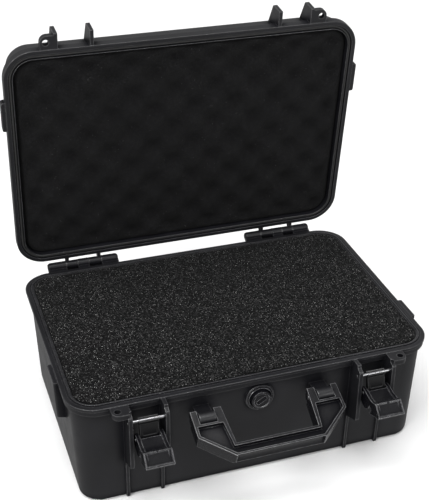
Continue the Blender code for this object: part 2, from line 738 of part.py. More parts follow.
def valve_body():
    """The bush through the front wall: a flange in the boss's recess and a bored shank."""
    shank = VALVE_SHANK_RADIUS
    flange = VALVE_FLANGE_RADIUS
    bore = VALVE_STEM_RADIUS + CLEARANCE
    counterbore = 5.4 * MM
    end = FRONT + 17 * MM
    profile = [
        (bore, FRONT + 4.9 * MM),
        (counterbore, FRONT + 4.9 * MM),
        (counterbore, FRONT + 2.6 * MM),
        (flange, FRONT + 2.6 * MM),
        (flange, FRONT + 4.1 * MM),
        (shank, FRONT + 4.1 * MM),
        (shank, end),
        (bore, end),
    ]
    bm = bmesh.new()
    add_turned(bm, profile, VALVE_CENTRE)
    return make_object("valve_body", bm, GLOSS_PLASTIC)


def valve_nut():
    """The hexagonal nut that clamps the bush from inside."""
    bm = bmesh.new()
    hexagon = arc(VALVE_CENTRE, VALVE_NUT_RADIUS, 0, 360, 6)[:-1]
    add_prism(bm, hexagon, "y", FRONT + 11.3 * MM, FRONT + 15.3 * MM)
    nut = make_object("valve_nut", bm, GLOSS_PLASTIC)
    hole = bmesh.new()
    bore = VALVE_SHANK_RADIUS + CLEARANCE
    add_disc(hole, VALVE_CENTRE, bore, "y", FRONT + 10 * MM, FRONT + 17 * MM, 24)
    boolean(nut, hole, "DIFFERENCE")
    return nut


def valve_seal():
    """The O-ring on the knob's stem, seated in the bush's counterbore."""
    section = arc((4.0 * MM, FRONT + 3.9 * MM), 0.8 * MM, 0, 360, 8)[:-1]
    bm = bmesh.new()
    add_turned(bm, section, VALVE_CENTRE, 24)
    return make_object("valve_seal", bm, RUBBER)


def valve_knob():
    """A round head with a coin slot across it and a stem down the bush."""
    head = VALVE_KNOB_RADIUS
    stem = VALVE_STEM_RADIUS
    profile = [
        (head - 1.1 * MM, -3.4 * MM),
        (head, -2.2 * MM),
        (head, 2.2 * MM),
        (stem, 2.2 * MM),
        (stem, 12 * MM),
    ]
    bm = bmesh.new()
    rings = []
    for radius, y in profile:
        ring = arc(VALVE_CENTRE, radius, 0, 360, 28)[:-1]
        rings.append([Vector((x, FRONT + y, z)) for x, z in ring])
    add_loft(bm, rings)
    knob = make_object("valve_knob", bm, GLOSS_PLASTIC)
    slot = bmesh.new()
    tilt = math.radians(SLOT_TILT)
    outline = []
    for u, v in ((-1, -1), (1, -1), (1, 1), (-1, 1)):
        x = u * SLOT_LENGTH / 2
        z = v * SLOT_WIDTH / 2
        turned_x = x * math.cos(tilt) - z * math.sin(tilt)
        turned_z = x * math.sin(tilt) + z * math.cos(tilt)
        outline.append((VALVE_CENTRE[0] + turned_x, VALVE_CENTRE[1] + turned_z))
    add_prism(slot, outline, "y", FRONT - 5 * MM, FRONT - 1.4 * MM)
    boolean(knob, slot, "DIFFERENCE")
    return knob


# Foam


def foam_block(name, levels, spec):
    """A foam block through (inset, height) levels, from its underside up."""
    bm = bmesh.new()
    add_loft(bm, [rounded_rectangle(inset, height) for inset, height in levels])
    return make_object(name, bm, spec)


def base_foam():
    """A flat pad under two foam blocks, the upper one relieved for the valve's nut."""
    inset = CAVITY_INSET_FOOT + FOAM_GAP + FILLET_CLEAR
    pad_low = FLOOR_THICKNESS + CLEARANCE
    pad_high = pad_low + PAD_THICKNESS
    top = BASE_HEIGHT + FOAM_ABOVE_RIM
    middle = (pad_high + top) / 2
    foam_block("base_foam_pad", [(inset, pad_low), (inset, pad_high)], BASE_FOAM)
    inset = CAVITY_INSET_FOOT + FOAM_GAP
    foam_block("base_foam_lower", [(inset, pad_high + CLEARANCE), (inset, middle)], BASE_FOAM)
    inset = CAVITY_INSET_TOP + FOAM_GAP
    levels = [(inset + 1.2 * MM, middle + CLEARANCE), (inset, top)]
    upper = foam_block("base_foam_upper", levels, BASE_FOAM)
    relief = bmesh.new()
    add_disc(relief, VALVE_CENTRE, 13 * MM, "y", FRONT + 5 * MM, FRONT + 19 * MM, 20)
    boolean(upper, relief, "DIFFERENCE")


def lid_foam():
    """Modelled with the lid closed: it fills the cavity and is cut back under the roof's fillet."""
    low = BASE_HEIGHT + LID_FOAM_RECESS
    high = BASE_HEIGHT + LID_HEIGHT - LID_ROOF_THICKNESS - CLEARANCE
    shoulder = high - CAVITY_FILLET - 1 * MM
    inset = LID_CAVITY_INSET_TOP + FOAM_GAP
    levels = [(LID_CAVITY_INSET_RIM + FOAM_GAP, low), (inset, shoulder), (inset + FILLET_CLEAR, high)]
    return foam_block("lid_foam", levels, LID_FOAM)


def build():
    clear_scene()
    base_shell()
    base_foam()
    lid_axis = empty("lid_axis", (0, HINGE_Y, HINGE_Z), -LID_OPEN_ANGLE)
    for piece in (lid_shell(), gasket(), lid_foam()):
        carry(piece, lid_axis, (0, HINGE_Y, HINGE_Z))
    hinge_pin("left_hinge_pin", -1)
    hinge_pin("right_hinge_pin", 1)
    latch("left", -LATCH_X)
    latch("right", LATCH_X)
    pivot = (0, proud(HANDLE_PROUD), BASE_HEIGHT - HANDLE_DROP)
    handle_axis = empty("handle_axis", pivot, -HANDLE_REST_ANGLE)
    carry(handle(), handle_axis, pivot)
    handle_pin("left_handle_pin", -1)
    handle_pin("right_handle_pin", 1)
    valve_body()
    valve_nut()
    valve_seal()
    valve_knob()


build()
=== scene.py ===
"""Looks for the hard equipment case: finer solids, procedural materials, soft studio light and camera."""

import math

import bmesh
import bpy
from mathutils import Matrix, Vector, noise


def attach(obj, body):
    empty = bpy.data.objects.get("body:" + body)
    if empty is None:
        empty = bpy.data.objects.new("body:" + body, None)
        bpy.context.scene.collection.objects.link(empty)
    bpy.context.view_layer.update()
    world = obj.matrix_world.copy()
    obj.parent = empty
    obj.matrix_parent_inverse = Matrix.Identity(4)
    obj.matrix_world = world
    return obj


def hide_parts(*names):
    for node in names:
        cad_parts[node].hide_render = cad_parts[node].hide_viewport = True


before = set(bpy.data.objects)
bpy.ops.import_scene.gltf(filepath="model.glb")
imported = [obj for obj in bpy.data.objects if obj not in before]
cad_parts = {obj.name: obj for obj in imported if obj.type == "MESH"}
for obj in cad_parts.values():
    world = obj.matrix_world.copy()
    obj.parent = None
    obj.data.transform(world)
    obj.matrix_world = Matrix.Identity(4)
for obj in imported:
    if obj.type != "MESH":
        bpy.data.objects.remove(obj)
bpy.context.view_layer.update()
MM = 0.001

# The same frame as the CAD: origin under the base's middle, +Z up, the front facing -Y
WIDTH, DEPTH = 420 * MM, 284 * MM
RIM = 135.5 * MM
FRONT, BACK = -142 * MM, 142 * MM
CORNER = 34 * MM
LID_TOP = RIM + 40 * MM
HINGE = (152.3 * MM, 136.5 * MM)
LID_ANGLE = 83.3
LATCH_X = 130.4 * MM
RIB_OFFSET = 19.9 * MM
RIB_HALF = 2.2 * MM
PROUD = 18 * MM
LATCH_PIVOT = (FRONT - 12.5 * MM, RIM - 14.5 * MM)
LINK_LENGTH = 21.2
LINK_ANGLE = math.radians(11.4)
CAM = (
    LATCH_PIVOT[0] - LINK_LENGTH * MM * math.sin(LINK_ANGLE),
    LATCH_PIVOT[1] - LINK_LENGTH * MM * math.cos(LINK_ANGLE),
)
HANDLE_PIVOT = (FRONT - 15.5 * MM, RIM - 27 * MM)
HANDLE_ANGLE = 70
VALVE = (0, RIM - 29 * MM)
LUG_ENDS = (-83 * MM, -47 * MM)
EAR_HOLE = (161.5 * MM, FRONT - 8.2 * MM)
EAR_HOLE_RADIUS = 3.6 * MM
PIN, PIN_BORE = 1.8 * MM, 2.1 * MM
CAM_PIN, CAM_BORE = 1.5 * MM, 1.8 * MM
HANDLE_PIN, HANDLE_BORE = 2.2 * MM, 2.5 * MM
VALVE_BORE = 6.4 * MM
LID_FOAM_INSET = 11.9 * MM
CORNER_STEPS = 14
SHALLOW_TURN = math.radians(20)


# Outlines


def arc(centre, radius, start, end, steps):
    points = []
    for i in range(steps + 1):
        angle = math.radians(start + (end - start) * i / steps)
        points.append((centre[0] + radius * math.cos(angle), centre[1] + radius * math.sin(angle)))
    return points


def soften(points, radius, steps=3):
    """Rounds a closed outline's corners, as far as its edges allow, and leaves the shallow ones."""
    made = []
    count = len(points)
    for i in range(count):
        here = Vector(points[i])
        to_last = Vector(points[i - 1]) - here
        to_next = Vector(points[(i + 1) % count]) - here
        turn = math.pi - to_last.angle(to_next)
        if turn < SHALLOW_TURN:
            made.append(tuple(here))
            continue
        cut = radius * math.tan(turn / 2)
        cut = min(cut, 0.45 * to_last.length, 0.45 * to_next.length)
        a = here + to_last.normalized() * cut
        b = here + to_next.normalized() * cut
        for k in range(steps + 1):
            t = k / steps
            made.append(tuple(a * (1 - t) ** 2 + here * 2 * t * (1 - t) + b * t ** 2))
    return made


def rim_ring(inset, z):
    """The shell's rounded rectangle, drawn in from the rim's outline by an inset."""
    half_x, half_y = WIDTH / 2 - inset, DEPTH / 2 - inset
    radius = max(CORNER - inset, 3 * MM)
    ring = []
    for sign_x, sign_y, start in ((1, 1, 0), (-1, 1, 90), (-1, -1, 180), (1, -1, 270)):
        centre = (sign_x * (half_x - radius), sign_y * (half_y - radius))
        ring += arc(centre, radius, start, start + 90, CORNER_STEPS)
    return [Vector((x, y, z)) for x, y in ring]


# Solids


def loft(bm, rings, closed=False):
    """Faces between rings of equal count, with flat ends or, when closed, joined end to end."""
    loops = [[bm.verts.new(point) for point in ring] for ring in rings]
    count = len(rings[0])
    pairs = list(zip(loops, loops[1:]))
    if closed:
        pairs.append((loops[-1], loops[0]))
    else:
        bm.faces.new(loops[0])
        bm.faces.new(loops[-1])
    for lower, upper in pairs:
        for i in range(count):
            j = (i + 1) % count
            bm.faces.new((lower[i], lower[j], upper[j], upper[i]))


def append(bm, extra):
    mesh = bpy.data.meshes.new("piece")
    extra.to_mesh(mesh)
    extra.free()
    bm.from_mesh(mesh)
    bpy.data.meshes.remove(mesh)


def prism(bm, outline, axis, start, end, edge=0.45 * MM, corner=0.5 * MM):
    """An extruded outline with its corners and its end edges rounded."""
    if corner:
        outline = soften(outline, corner)
    locate = {
        "x": lambda u, v, w: Vector((w, u, v)),
        "y": lambda u, v, w: Vector((u, w, v)),
        "z": lambda u, v, w: Vector((u, v, w)),
    }[axis]
    start, end = sorted((start, end))
    own = bmesh.new()
    loft(own, [[locate(u, v, w) for u, v in outline] for w in (start, end)])
    bmesh.ops.recalc_face_normals(own, faces=own.faces)
    if edge:
        sharp = [e for e in own.edges if e.calc_face_angle(0) > math.radians(35)]
        bmesh.ops.bevel(own, geom=sharp, offset=edge, segments=2, profile=0.6, affect="EDGES",
                        clamp_overlap=True)
        bmesh.ops.remove_doubles(own, verts=own.verts, dist=1e-6)
        bmesh.ops.recalc_face_normals(own, faces=own.faces)
    append(bm, own)


def turned(bm, profile, locate, steps=40):
    """Turns a closed (radius, along) profile, with locate(angle, radius, along) giving each point."""
    rings = []
    for i in range(steps):
        angle = 2 * math.pi * i / steps
        rings.append([locate(angle, radius, along) for radius, along in profile])
    loft(bm, rings, closed=True)


def rod(bm, centre, radius, start, end, chamfer=0.35 * MM, steps=24):
    """A round bar along X through (y, z), with domed ends."""
    start, end = sorted((start, end))
    stations = []
    for k in range(4):
        angle = math.radians(30 * k)
        stations.append((start + chamfer * (1 - math.cos(angle)), radius - chamfer * (1 - math.sin(angle))))
    stations += [(start + end - x, r) for x, r in reversed(stations)]
    rings = []
    for x, r in stations:
        rings.append([Vector((x, y, z)) for y, z in arc(centre, r, 0, 360, steps)[:-1]])
    loft(bm, rings)


def disc_y(bm, centre, radius, start, end, steps=40):
    start, end = sorted((start, end))
    ring = arc(centre, radius, 0, 360, steps)[:-1]
    loft(bm, [[Vector((x, y, z)) for x, z in ring] for y in (start, end)])


def tool_x(bm, outline, start, end):
    prism(bm, outline, "x", start, end, edge=0, corner=0)


def as_object(name, bm):
    bmesh.ops.recalc_face_normals(bm, faces=bm.faces)
    mesh = bpy.data.meshes.new(name)
    bm.to_mesh(mesh)
    bm.free()
    made = bpy.data.objects.new(name, mesh)
    bpy.context.scene.collection.objects.link(made)
    return made


def boolean(target, bm, operation):
    """Cuts or joins one mesh in place; the tool's pieces don't touch one another when they cut."""
    tool = as_object("tool", bm)
    modifier = target.modifiers.new(operation, "BOOLEAN")
    modifier.operation = operation
    modifier.solver = "EXACT"
    modifier.use_self = operation == "UNION"
    modifier.object = tool
    mesh = bpy.data.meshes.new_from_object(target.evaluated_get(bpy.context.evaluated_depsgraph_get()))
    target.modifiers.clear()
    old = target.data
    target.data = mesh
    bpy.data.meshes.remove(old)
    bpy.data.objects.remove(tool, do_unlink=True)


def settle(obj, angle=32):
    """Smooth shading with flat faces kept flat."""
    mesh = obj.data
    bm = bmesh.new()
    bm.from_mesh(mesh)
    bmesh.ops.remove_doubles(bm, verts=bm.verts, dist=2e-6)
    bmesh.ops.dissolve_degenerate(bm, edges=bm.edges, dist=1e-6)
    bm.to_mesh(mesh)
    bm.free()
    mesh.shade_smooth()
    mesh.set_sharp_from_angle(angle=math.radians(angle))
    modifier = obj.modifiers.new("normals", "WEIGHTED_NORMAL")
    modifier.keep_sharp = True
    modifier.weight = 60


def turn_about_x(obj, pivot, degrees):
    """Turns a piece modelled at its joint's other end to where it stands at rest."""
    y, z = pivot
    turn = Matrix.Rotation(math.radians(degrees), 4, "X")
    shift = Matrix.Translation((0, y, z))
    obj.data.transform(shift @ turn @ shift.inverted())


def place(obj, body, material, slot, *nodes):
    """Gives a finished piece its material and body, and hides the CAD nodes it stands for."""
    obj.data.materials.clear()
    obj.data.materials.append(material)
    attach(obj, body)
    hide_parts(*nodes)


# Materials


class Nodes:
    """A short way to build one Principled material."""

    def __init__(self, name, colour, roughness, metallic=0.0, specular=0.5):
        self.material = bpy.data.materials.new(name)
        self.material.use_nodes = True
        self.tree = self.material.node_tree
        self.shader = self.tree.nodes["Principled BSDF"]
        self.shader.inputs["Base Color"].default_value = (*colour, 1)
        self.shader.inputs["Roughness"].default_value = roughness
        self.shader.inputs["Metallic"].default_value = metallic
        self.shader.inputs["Specular IOR Level"].default_value = specular
        self.coords = self.tree.nodes.new("ShaderNodeTexCoord").outputs["Object"]

    def add(self, kind, **inputs):
        node = self.tree.nodes.new(kind)
        for key, value in inputs.items():
            socket = node.inputs[key.replace("_", " ")]
            if isinstance(value, bpy.types.NodeSocket):
                self.tree.links.new(value, socket)
            else:
                socket.default_value = value
        return node

    def noise(self, scale, detail=3.0, roughness=0.55):
        node = self.add("ShaderNodeTexNoise", Vector=self.coords, Scale=scale, Detail=detail)
        node.inputs["Roughness"].default_value = roughness
        return node.outputs["Fac"]

    def cells(self, scale):
        return self.add("ShaderNodeTexVoronoi", Vector=self.coords, Scale=scale)

    def remap(self, value, low, high, to_low, to_high):
        node = self.add("ShaderNodeMapRange", Value=value)
        for key, number in zip(("From Min", "From Max", "To Min", "To Max"), (low, high, to_low, to_high)):
            node.inputs[key].default_value = number
        return node.outputs["Result"]

    def maths(self, operation, a, b):
        node = self.tree.nodes.new("ShaderNodeMath")
        node.operation = operation
        for socket, value in zip(node.inputs, (a, b)):
            if isinstance(value, bpy.types.NodeSocket):
                self.tree.links.new(value, socket)
            else:
                socket.default_value = value
        return node.outputs[0]

    def mix(self, factor, a, b):
        node = self.tree.nodes.new("ShaderNodeMix")
        node.data_type = "RGBA"
        for socket, value in ((node.inputs[0], factor), (node.inputs[6], a), (node.inputs[7], b)):
            if isinstance(value, bpy.types.NodeSocket):
                self.tree.links.new(value, socket)
            elif isinstance(value, tuple):
                socket.default_value = (*value, 1)
            else:
                socket.default_value = value
        return node.outputs[2]

    def specks(self, scale, size, share):
        """1 at scattered specks, 0 elsewhere: a share of the cells have one."""
        node = self.cells(scale)
        near = self.maths("LESS_THAN", node.outputs["Distance"], size)
        split = self.add("ShaderNodeSeparateColor", Color=node.outputs["Color"])
        chosen = self.maths("LESS_THAN", split.outputs[0], share)
        return self.maths("MULTIPLY", near, chosen)

    def openness(self, distance):
        """1 in the open, less in a recess or a corner."""
        node = self.add("ShaderNodeAmbientOcclusion", Distance=distance)
        node.samples = 8
        return node.outputs["AO"]

    def edges(self, radius):
        """1 along sharp edges, 0 on smooth surface."""
        rounded = self.add("ShaderNodeBevel", Radius=radius)
        rounded.samples = 6
        flat = self.tree.nodes.new("ShaderNodeNewGeometry")
        along = self.tree.nodes.new("ShaderNodeVectorMath")
        along.operation = "DOT_PRODUCT"
        self.tree.links.new(rounded.outputs[0], along.inputs[0])
        self.tree.links.new(flat.outputs["Normal"], along.inputs[1])
        return self.remap(along.outputs["Value"], 0.9, 0.995, 1, 0)

    def bump(self, height, strength, distance, after=None):
        node = self.add("ShaderNodeBump", Height=height, Strength=strength, Distance=distance)
        if after is not None:
            self.tree.links.new(after, node.inputs["Normal"])
        return node.outputs["Normal"]

    def set(self, name, value):
        self.tree.links.new(value, self.shader.inputs[name])


def moulded_plastic(name, colour, rough_low, rough_high, grain, specks, rubbed_and_highlight, polish):
    """Moulded plastic: fine grain, uneven gloss, painted shade in recesses through a lower specular level, edges
    painted a lighter grey as part wear and part painted highlight, and a little dust.
    """
    n = Nodes(name, colour, (rough_low + rough_high) / 2)
    open_sky = n.openness(0.012)
    blotch = n.noise(14, 4)
    fine = n.noise(1900, 2)
    darker, lighter = tuple(c * 0.8 for c in colour), tuple(c * 1.2 for c in colour)
    tone = n.mix(n.remap(blotch, 0.35, 0.65, 0, 1), darker, lighter)
    # Open edges: their lighter grey is part wear and part painted highlight; they are also more specular and
    # smoother.
    outer = n.maths("MULTIPLY", n.edges(0.0015), n.remap(open_sky, 0.4, 0.8, 0, 1))
    wear_and_highlight = n.maths("MULTIPLY", outer, n.remap(n.noise(210, 3), 0.35, 0.65, 0.35, 1))
    tone = n.mix(wear_and_highlight, tone, (rubbed_and_highlight, rubbed_and_highlight, rubbed_and_highlight * 1.04))
    tone = n.mix(n.maths("MULTIPLY", n.specks(150, 0.03, specks), 0.5), tone, (0.25, 0.25, 0.25))
    n.set("Base Color", tone)
    # Painted shade: the specular level is lowered in recesses and corners, where shade falls.
    n.set("Specular IOR Level", n.maths("ADD", n.remap(open_sky, 0.68, 0.99, 0.02, 0.40),
                                        n.maths("MULTIPLY", outer, 0.9)))
    uneven = n.maths("ADD", n.remap(n.noise(40, 5, 0.6), 0.3, 0.7, rough_low, rough_high),
                     n.remap(fine, 0.3, 0.7, -0.03, 0.03))
    n.set("Roughness", n.maths("SUBTRACT", uneven, n.maths("MULTIPLY", outer, polish)))
    low = n.bump(n.noise(26, 2), 0.12, 0.0012)
    n.set("Normal", n.bump(fine, grain, 0.00012, low))
    return n.material


def foam(name, dark, light, sheen, bright_share, bright, contrast):
    """Open-cell foam: a speckle of cells, pores that catch the light, scattered bright fibres and painted shade
    that darkens hollows and corners.
    """
    n = Nodes(name, dark, 0.95, specular=0.12)
    n.shader.inputs["Sheen Weight"].default_value = sheen
    n.shader.inputs["Sheen Roughness"].default_value = 0.6
    grain = n.cells(760)
    split = n.add("ShaderNodeSeparateColor", Color=grain.outputs["Color"])
    shade = n.maths("POWER", split.outputs[0], contrast)
    tone = n.mix(shade, dark, light)
    tone = n.mix(n.remap(n.noise(30, 4), 0.35, 0.7, 0, 0.35), tone, tuple(c * 0.6 for c in dark))
    big = n.specks(380, 0.11, bright_share)
    small = n.specks(760, 0.24, bright_share * 2.4)
    tone = n.mix(n.maths("MULTIPLY", small, 0.45), tone, bright)
    tone = n.mix(big, tone, bright)
    # Painted shade: the colour goes towards black where the foam is hollow or cornered and shade falls.
    deep = n.remap(n.openness(0.03), 0.6, 0.98, 0.9, 0)
    n.set("Base Color", n.mix(deep, tone, tuple(c * 0.3 for c in dark)))
    pores = n.bump(grain.outputs["Distance"], 0.7, 0.0006)
    n.set("Normal", n.bump(n.noise(420, 4, 0.7), 0.5, 0.0008, pores))
    return n.material


def steel(name):
    n = Nodes(name, (0.5, 0.5, 0.51), 0.26, metallic=1.0)
    stretched = n.add("ShaderNodeMapping", Vector=n.coords)
    stretched.inputs["Scale"].default_value = (40, 1800, 1800)
    lines = n.add("ShaderNodeTexNoise", Vector=stretched.outputs[0], Scale=1.0, Detail=2.0).outputs["Fac"]
    n.set("Roughness", n.remap(lines, 0.3, 0.7, 0.18, 0.36))
    n.set("Base Color", n.mix(n.noise(300, 3), (0.24, 0.24, 0.25), (0.42, 0.42, 0.43)))
    n.set("Normal", n.bump(lines, 0.2, 0.00008))
    return n.material


def rubber(name):
    n = Nodes(name, (0.02, 0.02, 0.02), 0.6, specular=0.35)
    n.set("Base Color", n.mix(n.noise(120, 3), (0.014, 0.014, 0.014), (0.03, 0.03, 0.03)))
    n.set("Roughness", n.remap(n.noise(500, 3), 0.3, 0.7, 0.5, 0.72))
    n.set("Normal", n.bump(n.noise(1500, 2), 0.2, 0.0001))
    return n.material


# The rubbed values give the grey of the open edges, part wear and part painted highlight.
SHELL = moulded_plastic("case_plastic_look", (0.0080, 0.0080, 0.0096), rough_low=0.34, rough_high=0.46,
                        grain=0.30, specks=0.05, rubbed_and_highlight=0.075, polish=0.2)
GLOSS = moulded_plastic("latch_plastic_look", (0.0040, 0.0040, 0.0052), rough_low=0.18, rough_high=0.28,
                        grain=0.10, specks=0.03, rubbed_and_highlight=0.15, polish=0.05)
# A darker copy of the latch plastic for the latch link: painted shade, where the link sits in the latch's shadowed
# window.
SHADED_LATCH_PLASTIC = moulded_plastic("latch_plastic_shaded_look", (0.0022, 0.0022, 0.0027), rough_low=0.36, rough_high=0.46,
                       grain=0.20, specks=0.02, rubbed_and_highlight=0.02, polish=0)
STEEL = steel("pin_steel_look")
RUBBER = rubber("gasket_rubber_look")
BASE_FOAM = foam("base_foam_look", dark=(0.0008, 0.0008, 0.0009), light=(0.048, 0.048, 0.048), sheen=0.01,
                 bright_share=0.055, bright=(0.95, 0.95, 0.93), contrast=5)
LID_FOAM = foam("lid_foam_look", dark=(0.0034, 0.0034, 0.0037), light=(0.0095, 0.0095, 0.01), sheen=0.025,
                bright_share=0.005, bright=(0.3, 0.3, 0.3), contrast=2)


# Shells


def base_profile():
    corners = [
        (9.5 * MM, 0, 7.5),
        (5.5 * MM, RIM - 12.5 * MM, 4),
        (1.0 * MM, RIM - 9 * MM, 0.8),
        (0.9 * MM, RIM - 4.1 * MM, 0.3),
        (0, RIM - 3.2 * MM, 0.5),
        (0, RIM, 0.8),
        (5.1 * MM, RIM, 0.3),
        (5.4 * MM, RIM - 0.7 * MM, 0.2),
        (6.6 * MM, RIM - 0.7 * MM, 0.2),
        (6.8 * MM, RIM + 1.2 * MM, 0.4),
        (8.8 * MM, RIM + 1.2 * MM, 0.4),
        (9.0 * MM, RIM, 0.2),
        (10.2 * MM, RIM, 0.5),
        (12.6 * MM, 3.5 * MM, 6),
    ]
    points = [(34 * MM, 0)]
    points += [(a, b) for a, b, _ in corners]
    points += [(34 * MM, 3.5 * MM)]
    radii = [0] + [r for _, _, r in corners] + [0]
    return round_profile(points, radii)


def round_profile(points, radii, steps=4):
    made = [points[0]]
    for i in range(1, len(points) - 1):
        here = Vector(points[i])
        to_last, to_next = Vector(points[i - 1]) - here, Vector(points[i + 1]) - here
        turn = math.pi - to_last.angle(to_next)
        cut = min(radii[i] * MM * math.tan(turn / 2), 0.46 * to_last.length, 0.46 * to_next.length)
        a, b = here + to_last.normalized() * cut, here + to_next.normalized() * cut
        for k in range(steps + 1):
            t = k / steps
            made.append(tuple(a * (1 - t) ** 2 + here * 2 * t * (1 - t) + b * t ** 2))
    return made + [points[-1]]


def lid_profile():
    low = RIM + 0.4 * MM
    corners = [
        (12 * MM, LID_TOP - 3.2 * MM, 6),
        (10.3 * MM, low, 0.5),
        (9.3 * MM, low, 0.3),
        (9.2 * MM, low + 4.6 * MM, 0.5),
        (5.3 * MM, low + 4.6 * MM, 0.5),
        (5.2 * MM, low, 0.6),
        (0, low, 0.9),
        (0, RIM + 11 * MM, 1.0),
        (5.2 * MM, RIM + 11.6 * MM, 1.2),
        (8.3 * MM, LID_TOP, 7.5),
        (30 * MM, LID_TOP, 0.6),
        (31 * MM, LID_TOP - 0.8 * MM, 0.6),
    ]
    points = [(34 * MM, LID_TOP - 3.2 * MM)]
    points += [(a, b) for a, b, _ in corners]
    points += [(36 * MM, LID_TOP - 0.8 * MM)]
    return round_profile(points, [0] + [r for _, _, r in corners] + [0])


def rib_xs():
    """The middles of the four latch ribs, and of the lid's fins above them."""
    for side in (-1, 1):
        for end in (-1, 1):
            yield side * (LATCH_X + end * RIB_OFFSET)


def rib_outline():
    front = FRONT - PROUD
    return [
        (FRONT + 7 * MM, RIM - 0.8 * MM),
        (FRONT - 11.5 * MM, RIM - 0.8 * MM),
        (FRONT - 12.2 * MM, RIM - 4.2 * MM),
        (front + 0.8 * MM, RIM - 6.2 * MM),
        (front, RIM - 8 * MM),
        *arc((front + 6 * MM, RIM - 69.5 * MM), 6 * MM, 180, 252, 6),
        (FRONT + 9.8 * MM, RIM - 85 * MM),
    ]


def fin_outline():
    front = FRONT - PROUD
    return [
        (FRONT + 3 * MM, RIM + 1.1 * MM),
        (front, RIM + 1.1 * MM),
        *arc((front + 3.2 * MM, RIM + 19.5 * MM), 3.2 * MM, 180, 115, 5),
        (FRONT + 10 * MM, RIM + 35 * MM),
        (FRONT + 9 * MM, RIM + 7 * MM),
        (FRONT + 3 * MM, RIM + 6.5 * MM),
    ]


def runner_outline():
    foot = 9.5 * MM
    return [
        (FRONT + 11 * MM, 60 * MM),
        (FRONT + 5.4 * MM, 60 * MM),
        (FRONT + foot - 2.3 * MM, 10 * MM),
        (FRONT + foot - 2.6 * MM, 5 * MM),
        (FRONT + foot - 1.2 * MM, 0.8 * MM),
        (FRONT + foot + 4 * MM, 0.2 * MM),
        (FRONT + foot + 9 * MM, 2.4 * MM),
        (FRONT + 13 * MM, 14 * MM),
    ]


def ear_outline(side):
    root, reach = LATCH_X + RIB_OFFSET, 168 * MM
    corner = arc((reach - 8 * MM, FRONT - 8 * MM), 8 * MM, 0, -90, 8)
    points = [(root, FRONT + 4 * MM), (reach, FRONT + 4 * MM), *corner, (root, FRONT - 16 * MM)]
    return [(side * x, y) for x, y in points]


def knuckle(bm, side, free, other, dome):
    """A base knuckle with its block, its free end domed."""
    rings = []
    for angle in (0, 22.5, 45, 67.5, 90):
        inset = dome * (1 - math.sin(math.radians(angle)))
        along = dome * (1 - math.cos(math.radians(angle)))
        rings.append((free + math.copysign(along, other - free), inset))
    rings.append((other, 0))
    own = bmesh.new()
    loft(own, [[Vector((side * x, y, z)) for y, z in knuckle_section(inset)] for x, inset in rings])
    append(bm, own)


def knuckle_section(inset):
    wrap = arc(HINGE, 5.3 * MM - inset, 190, -70, 22)
    foot = [(BACK + 3 * MM - inset, RIM - 10.5 * MM + inset), (BACK - 3 * MM, RIM - 12 * MM + inset)]
    return [(BACK - 3 * MM, RIM - 0.6 * MM - inset), *wrap, *foot]


def hinge_shelf():
    """The shelf that joins the base knuckles, passing under the lid's knuckles."""
    return [
        (BACK - 3 * MM, RIM - 5.2 * MM),
        (HINGE[0] + 2.5 * MM, RIM - 5.2 * MM),
        (HINGE[0] + 1.5 * MM, RIM - 7.2 * MM),
        (BACK + 3 * MM, RIM - 10.4 * MM),
        (BACK - 3 * MM, RIM - 11.5 * MM),
    ]


def side_lug(bm, side, root, levels):
    """A pad with rounded corners on a side wall, from (height, how far it stands out) levels."""
    wall = side * (WIDTH / 2 - root)
    rings = []
    for z, reach in levels:
        face = side * (WIDTH / 2 + reach * MM)
        pad = [(wall, LUG_ENDS[0]), (face, LUG_ENDS[0]), (face, LUG_ENDS[1]), (wall, LUG_ENDS[1])]
        rings.append([Vector((x, y, z)) for x, y in soften(pad, 2.4 * MM, 4)])
    own = bmesh.new()
    loft(own, rings)
    append(bm, own)


